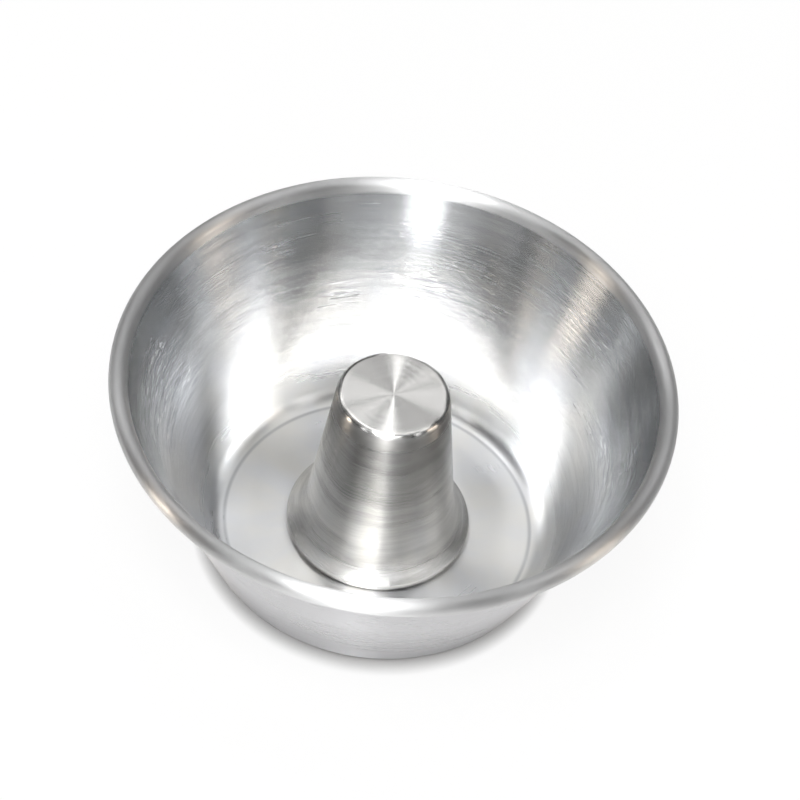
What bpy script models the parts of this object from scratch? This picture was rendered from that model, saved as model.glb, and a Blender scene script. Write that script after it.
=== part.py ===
"""Mini pudding mould: a flared sheet bowl with a rolled rim, and a hollow cone clinched into its base.

Lengths are in metres and +Z is up. The origin is the middle of the base, on the surface it stands on.
Each piece is one sheet of even thickness. Its centreline is drawn in the r, z half plane as a run of
bends with straight stretches between them, and the sheet's outline is turned round the Z axis.
"""

import math

import bmesh
import bpy

# Bowl: base, corner and flared wall
bowl_height = 0.0328
bowl_sheet = 0.0008
base_flat_diameter = 0.0450
base_corner_radius = 0.0028
foot_ring_width = 0.0030
panel_rise = 0.0003
panel_rise_bend_radius = 0.0150

# Bowl: rolled rim
rim_diameter = 0.0800
rim_bore_radius = 0.00045
rim_tip_gap = 0.00035

# Centre cone
cone_height = 0.0286
cone_sheet = 0.0005
cone_top_diameter = 0.0163
cone_top_edge_radius = 0.0010
cone_foot_diameter = 0.0268
cone_foot_margin = 0.0008
foot_fold_radius = 0.0001
foot_flare_radius = 0.0065
foot_flare_angle = math.radians(52)

# Seam that holds the cone in the base
seam_gap = 0.0003
collar_lip_width = 0.0009
collar_bend_radius = 0.0003

# Fineness of the round shapes
round_steps = 64
arc_step_angle = math.radians(22.5)
longest_arc_step = 0.0015
merge_distance = 0.000001
sharp_edge_angle = math.radians(35)

# Heights that the pieces share, from the ground up
panel_top = bowl_sheet + panel_rise
flange_bottom = panel_top + seam_gap
lip_bottom = flange_bottom + cone_sheet + seam_gap
lip_top = lip_bottom + bowl_sheet


def left_of(heading):
    """Unit vector to the left of a heading in the r, z half plane."""
    return -math.sin(heading), math.cos(heading)


def heading_between(bend, following):
    """Heading of the straight stretch that leaves one bend and enters the next."""
    reach_r = following[0] - bend[0]
    reach_z = following[1] - bend[1]
    sine = (following[2] - bend[2]) / math.hypot(reach_r, reach_z)
    # Two bends that touch have a sine of one, which rounding could carry past one.
    return math.atan2(reach_z, reach_r) - math.asin(max(-1.0, min(1.0, sine)))


def headings_round(start, turn, radius):
    """Headings along an arc: its two ends and every whole step between them."""
    step = arc_step_angle
    while step * abs(radius) > longest_arc_step:
        step /= 2
    low, high = sorted((start, start + turn))
    margin = step / 4
    first = math.ceil((low + margin) / step)
    last = math.floor((high - margin) / step)
    between = [number * step for number in range(first, last + 1)]
    if turn < 0:
        between.reverse()
    return [start, *between, start + turn]


def centreline(bends, last_turn=0.0):
    """Points (r, z, heading) of a line that runs straight from bend to bend and follows each round.

    A bend is its centre's r and z and its radius: positive for a left turn, negative for a right turn,
    zero for an end point. The last bend is followed for last_turn.
    """
    headings = [heading_between(bend, following) for bend, following in zip(bends, bends[1:])]
    turns = []
    for before, after in zip(headings, headings[1:]):
        turns.append((after - before + math.pi) % math.tau - math.pi)
    turns.append(math.copysign(last_turn, bends[-1][2]))
    points = [(bends[0][0], bends[0][1], headings[0])]
    for (centre_r, centre_z, radius), start, turn in zip(bends[1:], headings, turns):
        for heading in headings_round(start, turn, radius):
            left_r, left_z = left_of(heading)
            point = (centre_r - radius * left_r, centre_z - radius * left_z, heading)
            if math.dist(point[:2], points[-1][:2]) > merge_distance:
                points.append(point)
    return points


def offset(points, distance):
    """The line's points moved to its left by a distance."""
    moved = []
    for r, z, heading in points:
        left_r, left_z = left_of(heading)
        moved.append((r + distance * left_r, z + distance * left_z))
    return moved


def radius_at(outline, height):
    """Radius where an outline that rises from point to point passes a height."""
    for (r, z), (next_r, next_z) in zip(outline, outline[1:]):
        if z <= height <= next_z:
            return r + (next_r - r) * (height - z) / (next_z - z)
    return outline[-1][0]


def cone_centreline(flange_inner_r):
    """From the flange's inner edge, round the foot and up the side to the middle of the top."""
    half_sheet = cone_sheet / 2
    fold_radius = foot_fold_radius + half_sheet
    fold_r = cone_foot_diameter / 2 - fold_radius - half_sheet
    fold_z = flange_bottom + half_sheet + fold_radius
    # The flare curves the other way and touches the fold where the side has its widest splay.
    flare_radius = foot_flare_radius + half_sheet
    left_r, left_z = left_of(math.pi / 2 + foot_flare_angle)
    flare_r = fold_r - (fold_radius + flare_radius) * left_r
    flare_z = fold_z - (fold_radius + flare_radius) * left_z
    top_edge_r = cone_top_diameter / 2 - cone_top_edge_radius
    top_z = panel_top + cone_height
    return centreline(
        [
            (flange_inner_r, flange_bottom + half_sheet, 0.0),
            (fold_r, fold_z, fold_radius),
            (flare_r, flare_z, -flare_radius),
            (top_edge_r, top_z - cone_top_edge_radius, cone_top_edge_radius - half_sheet),
            (0.0, top_z - half_sheet, 0.0),
        ]
    )


def collar():
    """Centre radius of the collar's two like bends, and the radius of their centreline.

    The lip above the flange reaches to the seam's gap from the cone's inner face.
    """
    inner_face = offset(cone_centreline(0.0), cone_sheet / 2)
    lip_outer_r = radius_at(inner_face, lip_top) - seam_gap
    slot_height = lip_bottom - panel_top
    return lip_outer_r - collar_lip_width, min(collar_bend_radius, slot_height / 2) + bowl_sheet / 2


def bowl_centreline():
    """From the collar's lip, down through the hole, across the base, up the wall and round the rim."""
    half_sheet = bowl_sheet / 2
    bend_r, bend_radius = collar()
    lip_z = lip_top - half_sheet
    panel_z = panel_top - half_sheet
    # The panel rises inside the ring it stands on, by two like bends that meet halfway.
    rise_inner_r = cone_foot_diameter / 2 + cone_foot_margin
    rise_outer_r = base_flat_diameter / 2 - foot_ring_width
    widest_rise_bend = ((rise_outer_r - rise_inner_r) ** 2 + panel_rise**2) / (4 * panel_rise)
    rise_radius = min(panel_rise_bend_radius, widest_rise_bend)
    rim_radius = rim_bore_radius + bowl_sheet
    # The rolled tip stops short of the wall by its gap.
    rim_turn = math.tau - math.acos((rim_bore_radius - rim_tip_gap) / rim_radius)
    return centreline(
        [
            (bend_r + collar_lip_width, lip_z, 0.0),
            (bend_r, lip_z - bend_radius, bend_radius),
            (bend_r, panel_z + bend_radius, bend_radius),
            (rise_inner_r, panel_z - rise_radius, -rise_radius),
            (rise_outer_r, half_sheet + rise_radius, rise_radius),
            (base_flat_diameter / 2, bowl_sheet + base_corner_radius, base_corner_radius + half_sheet),
            (rim_diameter / 2 - rim_radius, bowl_height - rim_radius, half_sheet - rim_radius),
        ],
        rim_turn,
    )


def sheet_metal(name, colour, roughness):
    """Bare aluminium sheet."""
    material = bpy.data.materials.new(name)
    material.use_nodes = True
    shader = material.node_tree.nodes["Principled BSDF"]
    shader.inputs["Base Color"].default_value = (*colour, 1.0)
    shader.inputs["Metallic"].default_value = 1.0
    shader.inputs["Roughness"].default_value = roughness
    return material


def turned_sheet(name, points, thickness, material):
    """One object: the sheet along a centreline, turned round the Z axis."""
    left_face = offset(points, thickness / 2)
    right_face = offset(points, -thickness / 2)
    outline = [*reversed(right_face), *left_face]
    shape = bmesh.new()
    corners = [shape.verts.new((r, 0.0, z)) for r, z in outline]
    edges = [shape.edges.new(pair) for pair in zip(corners, corners[1:])]
    ends_on_axis = abs(points[-1][0]) < merge_distance
    if not ends_on_axis:
        edges.append(shape.edges.new((corners[-1], corners[0])))
    bmesh.ops.spin(
        shape,
        geom=[*corners, *edges],
        cent=(0.0, 0.0, 0.0),
        axis=(0.0, 0.0, 1.0),
        angle=math.tau,
        steps=round_steps,
        use_merge=True,
    )
    bmesh.ops.remove_doubles(shape, verts=shape.verts, dist=merge_distance)
    bmesh.ops.recalc_face_normals(shape, faces=shape.faces)
    mesh = bpy.data.meshes.new(name)
    shape.to_mesh(mesh)
    shape.free()
    mesh.shade_smooth()
    mesh.set_sharp_from_angle(angle=sharp_edge_angle)
    mesh.materials.append(material)
    piece = bpy.data.objects.new(name, mesh)
    bpy.context.collection.objects.link(piece)
    return piece


for leftover in list(bpy.data.objects):
    bpy.data.objects.remove(leftover)

spun_aluminium = sheet_metal("spun_aluminium", (0.66, 0.66, 0.67), 0.32)
turned_aluminium = sheet_metal("turned_aluminium", (0.60, 0.60, 0.61), 0.26)

collar_bend_r, collar_line_radius = collar()
flange_inner_r = collar_bend_r - collar_line_radius + bowl_sheet / 2 + seam_gap
turned_sheet("bowl", bowl_centreline(), bowl_sheet, spun_aluminium)
turned_sheet("centre_cone", cone_centreline(flange_inner_r), cone_sheet, turned_aluminium)
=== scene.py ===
# %% [markdown]
# # Mini pudding mould
# This is a small aluminium mould for one portion: a flared bowl with a rolled rim, and a hollow cone in its
# middle that leaves the hole in the pudding. Both are thin sheet, shaped over a turning form on a lathe.
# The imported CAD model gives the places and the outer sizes. This script dresses it: finer meshes for both
# sheets, a finish for each surface, a pale floor, soft lamps and the camera.

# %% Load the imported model
import math

import bpy
import numpy as np
from mathutils import Matrix, Vector


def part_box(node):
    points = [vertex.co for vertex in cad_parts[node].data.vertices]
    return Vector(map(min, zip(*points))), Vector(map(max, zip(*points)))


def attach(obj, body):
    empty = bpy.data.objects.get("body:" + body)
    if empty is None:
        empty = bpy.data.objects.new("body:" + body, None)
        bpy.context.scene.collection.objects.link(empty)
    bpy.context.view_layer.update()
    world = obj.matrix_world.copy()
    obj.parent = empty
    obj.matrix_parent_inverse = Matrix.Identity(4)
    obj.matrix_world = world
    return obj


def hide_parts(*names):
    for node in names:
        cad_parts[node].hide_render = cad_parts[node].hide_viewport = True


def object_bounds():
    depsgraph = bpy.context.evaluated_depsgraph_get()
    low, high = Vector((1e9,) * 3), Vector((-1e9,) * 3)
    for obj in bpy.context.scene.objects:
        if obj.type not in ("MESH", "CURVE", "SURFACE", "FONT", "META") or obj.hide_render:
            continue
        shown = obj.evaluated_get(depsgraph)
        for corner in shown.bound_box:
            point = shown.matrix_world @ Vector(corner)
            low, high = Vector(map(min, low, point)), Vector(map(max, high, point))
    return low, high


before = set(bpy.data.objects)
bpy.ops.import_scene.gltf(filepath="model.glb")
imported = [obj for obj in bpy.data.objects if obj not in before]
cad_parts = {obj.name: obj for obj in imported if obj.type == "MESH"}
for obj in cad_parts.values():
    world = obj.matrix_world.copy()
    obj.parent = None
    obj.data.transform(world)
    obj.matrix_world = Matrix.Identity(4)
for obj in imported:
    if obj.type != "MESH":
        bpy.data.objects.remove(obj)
cad_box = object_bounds()
print("CAD box in metres:", [[round(value, 5) for value in corner] for corner in cad_box])

# %% [markdown]
# ## The camera
# A long lens from a step away keeps the ellipses of a small object nearly flat, which is how such a
# product is usually photographed. The camera stands in front at about 50 degrees above the floor. It was
# held with a slight roll, so the rim's ellipse leans to the right. Blender could aim it by a Track To
# constraint, but a direction and a roll are turned into one rotation here, which is easy to read back.

# %% Camera
mm = 0.001
degrees = math.pi / 180

camera_place = Vector((0, -305.8, 385.0)) * mm
camera_aim = Vector((0.96, 0, 28.53)) * mm
camera_roll = 7.63 * degrees

camera_data = bpy.data.cameras.new("camera")
camera_data.lens = 150.3
camera_data.sensor_width = 36
camera_data.clip_start = 0.01
camera_data.clip_end = 20
camera = bpy.data.objects.new("camera", camera_data)
camera.location = camera_place
looking = (camera_aim - camera_place).to_track_quat("-Z", "Y")
camera.rotation_mode = "QUATERNION"
camera.rotation_quaternion = looking @ Matrix.Rotation(camera_roll, 3, "Z").to_quaternion()
bpy.context.scene.collection.objects.link(camera)
bpy.context.scene.camera = camera
rim_middle = Vector((0, 0, cad_box[1].z))
print("camera distance from the rim in mm:", round((camera.location - rim_middle).length / mm))

# %% [markdown]
# ## Sheet, drawn as one line
# A spun piece is one sheet, so its whole section follows from the sheet's middle line: bends, with straight
# stretches that touch them. A section could be typed in as points, but then every size would be frozen
# in it. Here each bend is a centre and a radius, and the line between two bends is their common tangent.

# %% Middle line of a sheet
longest_step = 0.5 * mm
widest_turn = 5.625 * degrees
same_place = 0.001 * mm
step_limits = round(longest_step / mm, 2), round(widest_turn / degrees, 2)
print("a step along a sheet is at most %s mm long and turns by at most %s degrees" % step_limits)


def heading_between(bend, following):
    """Heading of the straight stretch that leaves one bend and enters the next."""
    reach_r = following[0] - bend[0]
    reach_z = following[1] - bend[1]
    sine = (following[2] - bend[2]) / math.hypot(reach_r, reach_z)
    # Two bends that touch have a sine of one, which rounding could carry past one.
    return math.atan2(reach_z, reach_r) - math.asin(max(-1.0, min(1.0, sine)))


def arc_round(bend, start, turn):
    """Rows of radius, height and heading along one bend, in even steps that look round."""
    centre_r, centre_z, radius = bend
    steps = max(1, math.ceil(abs(turn) / widest_turn), math.ceil(abs(turn * radius) / longest_step))
    rows = []
    for heading in np.linspace(start, start + turn, steps + 1):
        rows.append((centre_r + radius * math.sin(heading), centre_z - radius * math.cos(heading), heading))
    return rows


def sheet_line(bends, last_turn=0.0):
    """Rows of radius, height and heading along a run of bends and the straight stretches between them.

    A bend is its centre's radius and height and its own radius: positive for a left turn, negative for a
    right turn, zero for an end point. The last bend is followed for last_turn.
    """
    headings = [heading_between(bend, following) for bend, following in zip(bends, bends[1:])]
    turns = []
    for before, after in zip(headings, headings[1:]):
        turns.append((after - before + math.pi) % math.tau - math.pi)
    turns.append(math.copysign(last_turn, bends[-1][2]))
    rows = [(bends[0][0], bends[0][1], headings[0])]
    for bend, start, turn in zip(bends[1:], headings, turns):
        arc = arc_round(bend, start, turn)
        last_r, last_z, _ = rows[-1]
        reach_r, reach_z = arc[0][0] - last_r, arc[0][1] - last_z
        steps = math.ceil(math.hypot(reach_r, reach_z) / longest_step)
        for share in np.linspace(0, 1, steps + 1)[1:-1]:
            rows.append((last_r + share * reach_r, last_z + share * reach_z, start))
        for row in arc:
            # Bends that touch, and end points, would give the same row twice, and faces with no area.
            if math.dist(row[:2], rows[-1][:2]) > same_place:
                rows.append(row)
    return np.array(rows)


def side_of(line, distance):
    """The line's radii and heights, moved to its left by a distance."""
    return line[:, 0] - distance * np.sin(line[:, 2]), line[:, 1] + distance * np.cos(line[:, 2])


# %% [markdown]
# ## Sizes
# The rim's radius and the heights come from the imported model. The other sizes are the sheet metal ones that
# a maker would set: sheet thickness, bend radii and the gap that the seam leaves between the two sheets.

# %% Sizes of the bowl
bowl_low, bowl_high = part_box("bowl")

bowl_sheet = 0.8 * mm
base_flat_radius = 22.5 * mm
base_corner_radius = 2.8 * mm
foot_ring_width = 3.0 * mm
panel_rise = 0.3 * mm
panel_rise_bend_radius = 6.0 * mm  # crisper than in the solids, so that the faint ring on the base shows
rim_bore_radius = 0.45 * mm
rim_tip_gap = 0.35 * mm
bowl_size = [round(side / mm, 1) for side in bowl_high - bowl_low]
print("the bowl's box in mm:", bowl_size)

# %% Sizes of the cone and the seam
cone_low, cone_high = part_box("centre_cone")

cone_sheet = 0.5 * mm
cone_top_radius = 8.15 * mm
cone_top_edge_radius = 1.0 * mm
cone_foot_margin = 0.8 * mm
foot_fold_radius = 0.1 * mm
foot_flare_radius = 6.5 * mm
foot_flare_angle = 52 * degrees

seam_gap = 0.3 * mm
collar_lip_width = 0.9 * mm
collar_bend_radius = 0.3 * mm

panel_top = bowl_sheet + panel_rise
flange_bottom = panel_top + seam_gap
lip_top = flange_bottom + cone_sheet + seam_gap + bowl_sheet
cone_size = [round(side / mm, 1) for side in cone_high - cone_low]
print("the cone's box in mm:", cone_size)

# %% [markdown]
# ## The cone's line
# The cone's side flares out into a foot, and the foot folds back under itself into a flange. A Bezier curve
# could be drawn for it by eye, but its bends would then not be true arcs. The flare and the fold curve
# opposite ways and touch, so one angle, the widest splay, places the flare on the fold.

# %% Line of the cone


def cone_line(flange_inner_r):
    """From the flange's inner edge, round the foot and up the side to the middle of the top."""
    half = cone_sheet / 2
    fold_radius = foot_fold_radius + half
    fold_r = cone_high.x - fold_radius - half
    fold_z = flange_bottom + half + fold_radius
    flare_radius = foot_flare_radius + half
    reach = fold_radius + flare_radius
    flare_r = fold_r + reach * math.cos(foot_flare_angle)
    flare_z = fold_z + reach * math.sin(foot_flare_angle)
    top_edge_r = cone_top_radius - cone_top_edge_radius
    return sheet_line(
        [
            (flange_inner_r, flange_bottom + half, 0.0),
            (fold_r, fold_z, fold_radius),
            (flare_r, flare_z, -flare_radius),
            (top_edge_r, cone_high.z - cone_top_edge_radius, cone_top_edge_radius - half),
            (0.0, cone_high.z - half, 0.0),
        ]
    )


# The collar's lip reaches to the seam's gap from the cone's inner face.
inner_r, inner_z = side_of(cone_line(0.0), cone_sheet / 2)
collar_r = np.interp(lip_top, inner_z, inner_r) - seam_gap - collar_lip_width
collar_line_radius = collar_bend_radius + bowl_sheet / 2
flange_inner_r = collar_r - collar_line_radius + bowl_sheet / 2 + seam_gap
print("points on the cone's line:", len(cone_line(flange_inner_r)))

# %% [markdown]
# ## The bowl's line
# The bowl starts inside the cone, where its collar holds the cone's flange, and runs under the cone, across
# the base and up the wall. Its rim is curled outward round an empty bore and stops short of the wall. A
# torus on a cone would look alike from above, but the rim is the same sheet, so it is the same line.

# %% Line of the bowl


def bowl_line():
    """From the collar's lip, down through the hole, across the base, up the wall and round the rim."""
    half = bowl_sheet / 2
    rise_inner_r = cone_high.x + cone_foot_margin
    rise_outer_r = base_flat_radius - foot_ring_width
    rim_curl_radius = rim_bore_radius + bowl_sheet
    rim_turn = math.tau - math.acos((rim_bore_radius - rim_tip_gap) / rim_curl_radius)
    return sheet_line(
        [
            (collar_r + collar_lip_width, lip_top - half, 0.0),
            (collar_r, lip_top - half - collar_line_radius, collar_line_radius),
            (collar_r, panel_top - half + collar_line_radius, collar_line_radius),
            (rise_inner_r, panel_top - half - panel_rise_bend_radius, -panel_rise_bend_radius),
            (rise_outer_r, half + panel_rise_bend_radius, panel_rise_bend_radius),
            (base_flat_radius, bowl_sheet + base_corner_radius, base_corner_radius + half),
            (bowl_high.x - rim_curl_radius, bowl_high.z - rim_curl_radius, half - rim_curl_radius),
        ],
        rim_turn,
    )


print("points on the bowl's line:", len(bowl_line()))

# %% [markdown]
# ## Turning a line into a sheet
# Blender's Spin or a Screw modifier would turn the section round, too. Here the rings of points are worked
# out directly, because each point then also gets its distance along the sheet, which the finishes need:
# tool marks follow the sheet round every bend.

# %% Rings round the axis
on_axis = 0.001 * mm
ring_points = 256
ring_angles = np.arange(ring_points) * math.tau / ring_points


def add_ring(vertices, r, z):
    """Adds a ring of points, or one point on the axis, and gives their numbers, closed by the first."""
    first = len(vertices)
    count = 1 if r < on_axis else ring_points
    for angle in ring_angles[:count]:
        vertices.append((r * math.cos(angle), r * math.sin(angle), z))
    return [first + step % count for step in range(ring_points)] + [first]


def faces_between(ring, following):
    """Quads from a ring to the following one, or triangles where one of them is a point."""
    faces = []
    for step in range(ring_points):
        corners = (ring[step], ring[step + 1], following[step + 1], following[step])
        faces.append(list(dict.fromkeys(corners)))
    return faces


def distance_along(line):
    """Distance of each row of a line from its inner end, or from the axis where the line ends there."""
    steps = np.hypot(np.diff(line[:, 0]), np.diff(line[:, 1]))
    along = np.concatenate(([0.0], np.cumsum(steps)))
    return along[-1] - along if line[-1, 0] < on_axis else along


# %% Turned sheet
sharpest_bend = 35 * degrees


def turned_sheet(name, line, thickness):
    """One object: a sheet of even thickness along a line, turned round the Z axis."""
    along = distance_along(line)
    right = np.column_stack((*side_of(line, -thickness / 2), along, np.ones(len(line))))
    left = np.column_stack((*side_of(line, thickness / 2), along, np.zeros(len(line))))
    vertices, distances, right_faces, rings = [], [], [], []
    for r, z, distance, on_right in np.concatenate((right[::-1], left)):
        rings.append(add_ring(vertices, r, z))
        added = len(vertices) - len(distances)
        distances.extend([distance] * added)
        right_faces.extend([on_right] * added)
    if line[-1, 0] >= on_axis:
        rings.append(rings[0])
    faces = []
    for ring, following in zip(rings, rings[1:]):
        faces.extend(faces_between(ring, following))
    mesh = bpy.data.meshes.new(name)
    mesh.from_pydata(vertices, [], faces)
    mesh.attributes.new("along", "FLOAT", "POINT").data.foreach_set("value", distances)
    mesh.attributes.new("right_face", "FLOAT", "POINT").data.foreach_set("value", right_faces)
    mesh.shade_smooth()
    mesh.set_sharp_from_angle(angle=sharpest_bend)
    piece = bpy.data.objects.new(name, mesh)
    bpy.context.scene.collection.objects.link(piece)
    print(name, "has", len(faces), "faces")
    return piece


bowl = turned_sheet("spun_bowl", bowl_line(), bowl_sheet)
cone = turned_sheet("turned_cone", cone_line(flange_inner_r), cone_sheet)

# %% [markdown]
# ## Nodes
# Every material is a small graph. One helper adds a node, sets its properties and joins or sets its inputs.
# Colours are written as the hex values that a paint program shows, and are turned to linear light here.

# %% Helpers for nodes and colours


def add_node(tree, kind, inputs=None, **settings):
    """Adds a node. An input gets a value, or a link where it is given another node's output."""
    node = tree.nodes.new(kind)
    for name, value in settings.items():
        setattr(node, name, value)
    for name, value in (inputs or {}).items():
        if isinstance(value, bpy.types.NodeSocket):
            tree.links.new(value, node.inputs[name])
        else:
            node.inputs[name].default_value = value
    return node


def linear(hex_colour):
    """An sRGB hex colour as linear red, green, blue and alpha, by the curve of the sRGB standard."""
    channels = [int(hex_colour[place : place + 2], 16) / 255 for place in (1, 3, 5)]
    return (*(c / 12.92 if c <= 0.04045 else ((c + 0.055) / 1.055) ** 2.4 for c in channels), 1.0)


def new_material(name):
    """An empty material, its node tree and its output."""
    material = bpy.data.materials.new(name)
    material.use_nodes = True
    material.node_tree.nodes.clear()
    return material, material.node_tree, add_node(material.node_tree, "ShaderNodeOutputMaterial")


print("a grey written as #808080 reflects", round(linear("#808080")[0], 3), "of the light")

# %% [markdown]
# ## Zones, layers and sums
# A finish is built as a painter would: first where each mark lies, then the colours, one over the other,
# and last how rough and how deep each mark is. Colour ramps could do this too, but they hide their
# numbers in a list of stops. Three small helpers keep every number in sight.

# %% Helpers for zones, layers and sums


def zone(tree, *ramps, least=0.0, most=1.0):
    """A mark with soft edges: its least outside, and its most where all its ramps are full.

    Each ramp is a value, the level up to which the mark is at its least, and the level where it is full.
    """
    mark = most
    for value, none, full in ramps:
        mark = add_node(
            tree,
            "ShaderNodeMapRange",
            {"Value": value, "From Min": none, "From Max": full, "To Min": least, "To Max": mark},
            interpolation_type="SMOOTHSTEP",
        ).outputs["Result"]
    return mark


def painted(tree, colour, *layers):
    """A colour under layers of others. A layer is the mark where it lies, its strength and its colour."""
    for mark, strength, layer in layers:
        share = add_node(tree, "ShaderNodeMath", {0: mark, 1: strength}, operation="MULTIPLY").outputs[0]
        # A Mix node has inputs for numbers, too: 6, 7 and output 2 are those for colours.
        mix = add_node(tree, "ShaderNodeMix", {0: share, 6: colour, 7: layer}, data_type="RGBA")
        colour = mix.outputs[2]
    return colour


def summed(tree, base, *parts):
    """A base value plus its parts. A part is a mark and how much it adds, which may vary as well."""
    total = base
    for mark, amount in parts:
        step = add_node(tree, "ShaderNodeMath", {0: mark, 1: amount, 2: total}, operation="MULTIPLY_ADD")
        total = step.outputs[0]
    return total


# %% [markdown]
# ## Marks that run round the sheet
# Everything on a spun piece runs round it: the roller's rings, the polishing lines and most scratches. So a
# mark is a noise that is long round the axis and narrow along the sheet. Its place round the axis comes
# from a unit circle and not from an angle, because an angle jumps at its seam. The noise lies mostly between
# 0.3 and 0.7, so the levels in a ramp say how much of the surface a mark covers.

# %% Streaks round the axis


def streaks(tree, length, width, radius, detail, seed=0.0, sway=0.0):
    """A noise from 0 to 1 whose cells are a length round the axis at a radius, and a width along the sheet.

    Sway moves the pattern along the sheet, as a count of widths.
    """
    place = add_node(tree, "ShaderNodeTexCoord").outputs["Object"]
    flat = add_node(tree, "ShaderNodeVectorMath", {0: place, 1: (1.0, 1.0, 0.0)}, operation="MULTIPLY")
    circle = add_node(tree, "ShaderNodeVectorMath", {0: flat.outputs[0]}, operation="NORMALIZE")
    along = add_node(tree, "ShaderNodeAttribute", attribute_name="along").outputs["Fac"]
    row = summed(tree, seed, (along, 1 / width), (1.0, sway))
    rows = add_node(tree, "ShaderNodeCombineXYZ", {"Z": row})
    spread = radius / length
    cell = add_node(
        tree,
        "ShaderNodeVectorMath",
        {0: circle.outputs[0], 1: (spread, spread, 0.0), 2: rows.outputs[0]},
        operation="MULTIPLY_ADD",
    )
    noise = add_node(tree, "ShaderNodeTexNoise", {"Vector": cell.outputs[0], "Scale": 1.0, "Detail": detail})
    return noise.outputs["Fac"]


# %% [markdown]
# ## The metal's shader
# Both pieces are bare aluminium with fine lines round the axis, too fine to draw one by one. They smear
# each reflection across them, which is what an anisotropic shader does: its tangent runs round the axis,
# and a quarter turn lays the smear across the lines. Aluminium has no colour of its own but a slight
# warm or cold grey, and it reflects most of the light, so it is metallic with a pale colour.

# %% Shader of lined metal
smear = 0.97
quarter_turn = 0.25


def lined_metal(tree, output, colour, roughness, relief):
    """Joins a colour, a roughness and a height in metres to a metal with fine lines round the axis."""
    bump = add_node(tree, "ShaderNodeBump", {"Height": relief, "Strength": 1.0, "Distance": 1.0})
    tangent = add_node(tree, "ShaderNodeTangent", direction_type="RADIAL", axis="Z")
    shader = add_node(
        tree,
        "ShaderNodeBsdfPrincipled",
        {
            "Base Color": colour,
            "Metallic": 1.0,
            "Roughness": roughness,
            "Normal": bump.outputs["Normal"],
            "Anisotropic": smear,
            "Anisotropic Rotation": quarter_turn,
            "Tangent": tangent.outputs["Tangent"],
        },
    )
    tree.links.new(shader.outputs["BSDF"], output.inputs["Surface"])
    print("the material has", len(tree.nodes), "nodes")


# %% [markdown]
# ## Spun aluminium
# The bowl was spun from a disc of bare aluminium and polished with a cloth while it turned. The polish makes
# light form bright rays up the wall, and not the round spots of a mirror. Use adds short scuffs and bright
# burnishes round the wall, greyer brushed streaks and a rubbed rim. The rest is painted shade: a grey band
# near the rim, the brushed streaks laid on more thickly there, a darker foot on the outside and a thin dark
# line where the base meets the wall. A picture of brushed metal could be wrapped round the bowl, but it
# would stretch on the flare and repeat. Noise that follows the sheet does neither. Each mark lies at a
# height, so heights are first turned into distances along the sheet.

# %% Places along the bowl's sheet
wall_radius = 33 * mm
rim_depth = 1.2 * mm

rows = bowl_line()
bowl_along = distance_along(rows)
hole_edge = int(np.argmin(rows[:, 0]))
wall_start = int(np.argmax(rows[:, 1] > base_corner_radius))
wall_end = int(np.argmax(rows[:, 1] > bowl_high.z - rim_depth))


def wall_along(height):
    """Distance along the bowl's sheet of a height on its wall."""
    return float(np.interp(height, rows[wall_start:wall_end, 1], bowl_along[wall_start:wall_end]))


base_end = wall_along(2.5 * mm)
wall_clear = wall_along(7 * mm)
rim_zone_start = wall_along(13 * mm)
rim_zone_full = wall_along(27 * mm)
rim_start = wall_along(31 * mm)
outward = slice(hole_edge, wall_end)
corner_start = float(np.interp(base_flat_radius, rows[outward, 0], bowl_along[outward]))
places = {"base corner": corner_start, "clear wall": wall_clear, "rim": rim_start}
print({name: round(place / mm, 2) for name, place in places.items()}, "mm along the sheet")

# %% Marks on the bowl
ring_length = 90 * mm
roller_ring = 0.3 * mm  # real rings are about 0.1 mm apart, too fine for this picture
cloud_width = 14 * mm
dent_width = 9 * mm
scuff_length = 5 * mm
scuff_width = 0.4 * mm
patch_length = 13 * mm
patch_width = 9 * mm
brush_length = 16 * mm
brush_width = 0.8 * mm

# Cloth polish gives the eye a soft sheen that pulls every light out into a ray.
spun_aluminium, tree, output = new_material("spun_aluminium")
along = add_node(tree, "ShaderNodeAttribute", attribute_name="along").outputs["Fac"]
outside = add_node(tree, "ShaderNodeAttribute", attribute_name="right_face").outputs["Fac"]
rings = streaks(tree, ring_length, roller_ring, wall_radius, detail=1.0)
clouds = streaks(tree, cloud_width, cloud_width, wall_radius, detail=3.0, seed=3.0)
dents = streaks(tree, dent_width, dent_width, wall_radius, detail=1.0, seed=7.0)
dashes = streaks(tree, scuff_length, scuff_width, wall_radius, detail=1.0, seed=11.0)
shines = streaks(tree, scuff_length / 3, scuff_width, wall_radius, detail=1.0, seed=31.0)
patches = streaks(tree, patch_length, patch_width, wall_radius, detail=1.0, seed=5.2)
brush = streaks(tree, brush_length, brush_width, wall_radius, detail=3.0, seed=21.0)
print("marks from", round(roller_ring / mm, 1), "to", round(cloud_width / mm), "mm across")

# %% Where the bowl's marks lie
marks_outside = 0.15
rim_blend = 0.6 * mm
line_half_width = 0.5 * mm

inside = zone(tree, (outside, 1.0, 0.0), least=marks_outside)
on_base = zone(tree, (along, wall_clear, base_end))
on_rim = zone(tree, (along, rim_start, rim_start + rim_blend))
scuff_band = (
    (along, wall_along(11 * mm), wall_along(19 * mm)),
    (along, wall_along(29 * mm), wall_along(25 * mm)),
    (patches, 0.46, 0.60),
)
scuffs = zone(tree, *scuff_band, (dashes, 0.48, 0.70))
burnishes = zone(tree, *scuff_band, (shines, 0.58, 0.70))
# The brushed streaks are real wear, but they are laid on more thickly towards the rim to darken the upper
# wall: that part is painted shade.
brush_shade_ramp = zone(tree, (along, rim_zone_start, rim_zone_full), least=0.3)
brush_and_shade_share = add_node(tree, "ShaderNodeMath", {0: inside, 1: brush_shade_ramp}, operation="MULTIPLY").outputs[0]
brushed_and_shade = zone(tree, (brush, 0.40, 0.66), (along, base_end, wall_clear), most=brush_and_shade_share)
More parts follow.
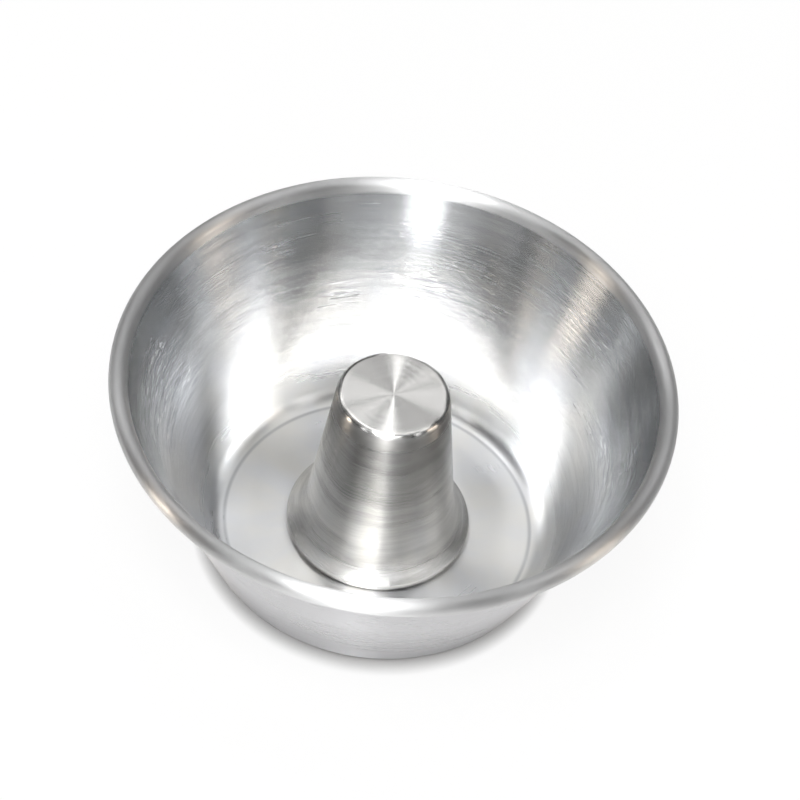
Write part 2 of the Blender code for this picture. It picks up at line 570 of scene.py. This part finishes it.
# Painted shade: a thin dark line in the corner where the base meets the wall.
corner_shade = zone(
    tree,
    (along, corner_start - line_half_width, corner_start),
    (along, corner_start + line_half_width, corner_start),
    most=inside,
)
scuff_reach = [round(ramp[1] / mm, 1) for ramp in scuff_band[:2]]
print("scuffs lie between", scuff_reach, "mm along the sheet")

# %% Colours of the bowl
cloudy = zone(tree, (clouds, 0.35, 0.65))
# A grey band near the rim, patchy with the clouds, is painted shade that darkens the upper wall.
grey_band_depth = zone(tree, (clouds, 0.4, 0.6), least=0.7)
grey_band_shade = zone(tree, (along, rim_zone_start, rim_zone_full), most=grey_band_depth)
# Painted shade: the outside is painted darker towards the foot.
foot_shade = zone(tree, (along, wall_along(18 * mm), wall_along(3 * mm)))
outer_colour = painted(tree, linear("#cfcfd1"), (foot_shade, 1.0, linear("#b6b6b8")))
colour = painted(
    tree,
    linear("#e1e2e4"),
    (cloudy, 1.0, linear("#e6e5e2")),
    # painted shade near the rim
    (grey_band_shade, 1.0, linear("#c2c4c6")),
    # brushed streaks, partly painted shade
    (brushed_and_shade, 0.4, linear("#b0b2b5")),
    (scuffs, 1.0, linear("#bfc0c4")),
    (burnishes, 1.0, linear("#f2f2f2")),
    # painted shade in the corner
    (corner_shade, 0.6, linear("#a4a6a9")),
    (on_rim, 0.8, linear("#dcdcdc")),
    (outside, 1.0, outer_colour),
)
print("with its colours the bowl's graph has", len(tree.nodes), "nodes")

# %% Roughness and relief of the bowl
polished_roughness = 0.22  # cloth-polished aluminium is mostly between 0.2 and 0.3
roller_groove = 0.003 * mm
dent_depth = 0.010 * mm
scuff_depth = 0.002 * mm

# The base is pressed flat and not rolled, so the rings are faint there.
ring_sheen = zone(tree, (rings, 0.3, 0.7), least=-0.03, most=0.03)
sheen_share = zone(tree, (along, base_end, wall_clear), least=0.3)
roughness = summed(
    tree,
    polished_roughness,
    (ring_sheen, sheen_share),
    (zone(tree, (clouds, 0.3, 0.7), least=-0.02, most=0.02), 1.0),
    (brushed_and_shade, 0.02),
    (scuffs, 0.05),
    (burnishes, -0.06),
    (on_rim, 0.18),
    (outside, 0.08),
    (on_base, 0.08),
)
ring_height = add_node(tree, "ShaderNodeMath", {0: rings, 1: inside}, operation="MULTIPLY").outputs[0]
groove_depth = zone(tree, (along, base_end, wall_clear), least=0.2 * roller_groove, most=roller_groove)
relief = summed(tree, 0.0, (ring_height, groove_depth), (dents, dent_depth), (scuffs, -scuff_depth))
lined_metal(tree, output, colour, roughness, relief)

# %% [markdown]
# ## Turned aluminium
# The cone was pressed and then faced on the lathe with a pointed tool. Its feed leaves rings that are easy to
# see, and where the thin wall gave way under the tool they run a little wavy. A Wave texture in rings
# could draw them, but each of its rings is like the next. The same shader shows the fan of light on
# the top and the one bright line down the side. The side is painted darker than the top, as painted shade.
# The bent edge of the top is rougher, because the tool lifts off there, and painted shade dims its highlight.

# %% Marks on the cone
cone_mid_radius = 11 * mm
tool_ring_length = 60 * mm
tool_ring = 0.28 * mm  # a real feed is about 0.1 mm a turn, too fine for this picture
band_length = 24 * mm
band_width = 1.7 * mm
cloud_width = 9 * mm
waver_length = 12 * mm
waver_width = 20 * mm
edge_start = cone_top_radius

# Facing with a tool gives the eye a fan of light on the flat top and dark and light bands on the side.
turned_aluminium, tree, output = new_material("turned_aluminium")
along = add_node(tree, "ShaderNodeAttribute", attribute_name="along").outputs["Fac"]
waver = streaks(tree, waver_length, waver_width, cone_mid_radius, detail=1.0, seed=2.0)
ring_sway = zone(tree, (waver, 0.2, 0.8), least=-2.0, most=2.0)
band_sway = zone(tree, (waver, 0.2, 0.8), least=-0.6, most=0.6)
rings = streaks(tree, tool_ring_length, tool_ring, cone_mid_radius, detail=1.0, sway=ring_sway)
bands = streaks(tree, band_length, band_width, cone_mid_radius, detail=1.5, seed=4.0, sway=band_sway)
clouds = streaks(tree, cloud_width, cloud_width, cone_mid_radius, detail=2.0, seed=9.0)
side_ramp = (along, edge_start - 1 * mm, edge_start + 2 * mm)
on_side = zone(tree, side_ramp)
on_edge = zone(tree, side_ramp, (along, edge_start + 2.5 * mm, edge_start))
print("the cone's side starts", round(edge_start / mm, 2), "mm from the axis")

# %% Finish of the cone
faced_roughness = 0.22  # a fresh cut by a fine tool is about as smooth as the polish
tool_groove = 0.0012 * mm

# The side is painted darker than the top: painted shade. The clouds on it are the metal's own uneven tone.
side_colour = painted(tree, linear("#d2d1cf"), (zone(tree, (clouds, 0.35, 0.65)), 1.0, linear("#cac9c7")))
colour = painted(
    tree,
    linear("#e8e7e5"),
    (on_side, 1.0, side_colour),
    (zone(tree, (bands, 0.36, 0.70), most=on_side), 0.8, linear("#b6b5b3")),
    # painted shade that dims the edge's highlight
    (on_edge, 1.0, linear("#b2b0ad")),
)
roughness = summed(
    tree,
    faced_roughness,
    (zone(tree, (rings, 0.3, 0.7), least=-0.03, most=0.03), 1.0),
    (on_side, zone(tree, (bands, 0.35, 0.65), least=0.01, most=0.03)),
    (on_edge, 0.42),
)
relief = summed(tree, 0.0, (rings, zone(tree, side_ramp, most=tool_groove)))
lined_metal(tree, output, colour, roughness, relief)

# %% [markdown]
# ## Pieces in the shared frame
# Each finished sheet takes the place of its CAD node and stands on the same body, with a material of its own.

# %% Pieces in the shared frame
for piece, material, node, slot in (
    (bowl, spun_aluminium, "bowl", "bowl_sheet"),
    (cone, turned_aluminium, "centre_cone", "cone_sheet"),
):
    piece.data.materials.append(material)
    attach(piece, "root")
    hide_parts(node)
    print(piece.name, "replaces", node)

# %% [markdown]
# ## The floor
# The mould stands on plain white paper. A plain square would do for the picture, but from underneath it would
# hide the mould. So the paper is clear from below, and it has a round hole under the foot ring, where
# nobody sees it from above.

# %% Sheet of paper
floor_radius = 3.0
hole_radius = base_flat_radius - foot_ring_width / 2

corners = []
inner_ring = add_ring(corners, hole_radius, 0.0)
outer_ring = add_ring(corners, floor_radius, 0.0)
floor_mesh = bpy.data.meshes.new("floor")
floor_mesh.from_pydata(corners, [], faces_between(outer_ring, inner_ring))
floor = bpy.data.objects.new("floor", floor_mesh)
bpy.context.scene.collection.objects.link(floor)
print("paper", 2 * floor_radius, "m wide, with a hole of", round(2 * hole_radius / mm), "mm")

# %% [markdown]
# ## White paper
# Part of the paper's light is its own, for the camera and for reflections only, so that it is as white as
# the page while it still keeps the mould's shadow. More lamp light would bleach the metal as well. Close
# to the mould the paper sees little of the room, so an ambient occlusion node darkens it there.

# %% White paper
paper_grain = 0.6 * mm  # real fibres are far finer; at this size they still show as a faint unevenness
own_light_seen = 0.9
own_light_mirrored = 0.25
contact_reach = 2.5 * mm

# Matt uncoated paper gives the eye an even white with no highlight.
white_paper, tree, output = new_material("white_paper")
place = add_node(tree, "ShaderNodeTexCoord").outputs["Object"]
grain = add_node(tree, "ShaderNodeTexNoise", {"Vector": place, "Scale": 1 / paper_grain, "Detail": 4.0})
white = painted(tree, linear("#f6f6f6"), (grain.outputs["Fac"], 1.0, linear("#fafafa")))
openness = add_node(tree, "ShaderNodeAmbientOcclusion", {"Distance": contact_reach}, samples=8)
open_room = add_node(tree, "ShaderNodeMath", {0: openness.outputs["AO"], 1: 2.0}, operation="POWER").outputs[0]
paper_colour = painted(tree, linear("#c0c0c0"), (open_room, 1.0, white))
paper = add_node(tree, "ShaderNodeBsdfPrincipled", {"Base Color": paper_colour, "Roughness": 0.9})

# %% The paper's own light
glow = add_node(tree, "ShaderNodeEmission", {"Color": linear("#ffffff"), "Strength": 1.0})
ray = add_node(tree, "ShaderNodeLightPath")
own_light = summed(
    tree,
    0.0,
    (ray.outputs["Is Camera Ray"], own_light_seen),
    (ray.outputs["Is Glossy Ray"], own_light_mirrored),
    (ray.outputs["Is Transmission Ray"], own_light_mirrored),
)
share = add_node(tree, "ShaderNodeMath", {0: open_room, 1: own_light}, operation="MULTIPLY")
lit = add_node(tree, "ShaderNodeMixShader", {0: share.outputs[0], 1: paper.outputs[0], 2: glow.outputs[0]})
below = add_node(tree, "ShaderNodeNewGeometry").outputs["Backfacing"]
clear = add_node(tree, "ShaderNodeBsdfTransparent")
surface = add_node(tree, "ShaderNodeMixShader", {0: below, 1: lit.outputs[0], 2: clear.outputs[0]})
tree.links.new(surface.outputs[0], output.inputs["Surface"])
floor_mesh.materials.append(white_paper)
print("the paper's material has", len(tree.nodes), "nodes")

# %% [markdown]
# ## Studio light
# Polished metal is lit by what it mirrors, so the lamps are placed by direction and not by how much light
# they give. A photographed room could be wrapped round the scene, but its lights could not be moved one by
# one. Three tall panels above the camera give the white zone at the back of the wall. Low lamps at
# the sides draw one ray each up the left and the right of the wall, and lamps low in front draw the middle
# ray and the line down the cone: they are nested, from narrow and bright to wide and weak, because one
# lamp alone would give the ray hard sides. A narrow strip behind and above draws the two wedges of light on
# the cone's flat top, and pale cards round and above make the greys between. Each row is a turn round the
# mould from the back, clockwise from above, an elevation, a width and a height in degrees, and how
# bright the lamp looks, where white paper in this light is about 1.

# %% Rows of lamps
warm = "#fff0df"
plain = "#ffffff"
lamps = {
    "key_right": (176, 60, 8, 24, 15.8, plain),
    "key_left": (193, 60, 8, 24, 9.8, plain),
    "key_far_left": (202, 60, 8, 24, 8.8, plain),
    "key_card_right": (157, 58, 6, 8, 12.0, plain),
    "key_card_left": (224, 74, 6, 8, 14.0, plain),
    "side_right": (95, 15, 9, 10, 7.2, warm),
    "side_right_tall": (102, 24, 8, 24, 2.9, warm),
    "side_left": (256, 15, 10, 10, 12.1, warm),
    "front_low": (183, 8, 5, 8, 7.2, plain),
    "front_low_wide": (183, 9, 15, 10, 3.5, plain),
    "front_tall": (184, 26, 10, 26, 3.3, plain),
    "front_wide": (183, 10, 76, 12, 0.8, plain),
    "front_right": (143, 6, 26, 10, 0.5, plain),
    "low_back": (0, 24, 14, 9, 2.0, plain),
    "card_right": (120, 44, 9, 9, 3.8, plain),
    "card_left": (230, 44, 9, 9, 5.5, plain),
    "card_front_left": (210, 54, 9, 9, 2.4, plain),
    "card_back_right": (15, 46, 14, 14, 1.3, plain),
    "card_back_middle": (345, 46, 14, 14, 1.3, plain),
    "card_back_left": (315, 46, 14, 14, 2.5, plain),
    "card_back_far_right": (45, 46, 14, 14, 1.1, plain),
    "card_high_right": (75, 62, 12, 12, 2.5, plain),
    "card_high_back_right": (15, 62, 12, 12, 1.7, plain),
    "card_high_back_left": (340, 62, 12, 12, 3.7, plain),
    "card_top_right": (60, 77, 12, 12, 1.5, plain),
    "card_top_left": (330, 77, 12, 12, 1.7, plain),
    "top_strip": (0, 72, 3, 24, 7.0, plain),
}
print(len(lamps), "lamps")

# %% Lamps
lamp_distance = 0.9
lamp_aim = Vector((0, 0, 15)) * mm

for name, (turn, elevation, width, height, brightness, tint) in lamps.items():
    level = math.cos(elevation * degrees)
    across = math.sin(turn * degrees) * level
    back = math.cos(turn * degrees) * level
    way = Vector((across, back, math.sin(elevation * degrees)))
    data = bpy.data.lights.new(name, "AREA")
    data.shape = "RECTANGLE"
    data.size = 2 * lamp_distance * math.tan(width * degrees / 2)
    data.size_y = 2 * lamp_distance * math.tan(height * degrees / 2)
    data.energy = brightness * math.pi * data.size * data.size_y
    data.color = linear(tint)[:3]
    lamp = bpy.data.objects.new(name, data)
    lamp.location = lamp_aim + lamp_distance * way
    lamp.rotation_euler = (-way).to_track_quat("-Z", "Y").to_euler()
    bpy.context.scene.collection.objects.link(lamp)
print("lamps stand", lamp_distance, "m from the mould")

# %% [markdown]
# ## The room
# The room itself gives little light, or the metal would have no dark places. Below the floor it is pale,
# which only shows through the hole in the paper, when the mould is looked at from underneath. A lamp
# down there could do the same, but metal would mirror its shape.

# %% Room light
light_above = 0.05
light_below = 0.7

room = bpy.data.worlds.new("room")
bpy.context.scene.world = room
room.use_nodes = True
tree = room.node_tree
tree.nodes.clear()
direction = add_node(tree, "ShaderNodeTexCoord").outputs["Generated"]
rise = add_node(tree, "ShaderNodeSeparateXYZ", {0: direction}).outputs["Z"]
strength = zone(tree, (rise, -0.01, -0.03), least=light_above, most=light_below)
background = add_node(tree, "ShaderNodeBackground", {"Color": linear(plain), "Strength": strength})
add_node(tree, "ShaderNodeOutputWorld", {"Surface": background.outputs[0]})
bpy.context.scene.view_settings.view_transform = "Standard"
print("room light", light_above, "above the floor and", light_below, "below it")
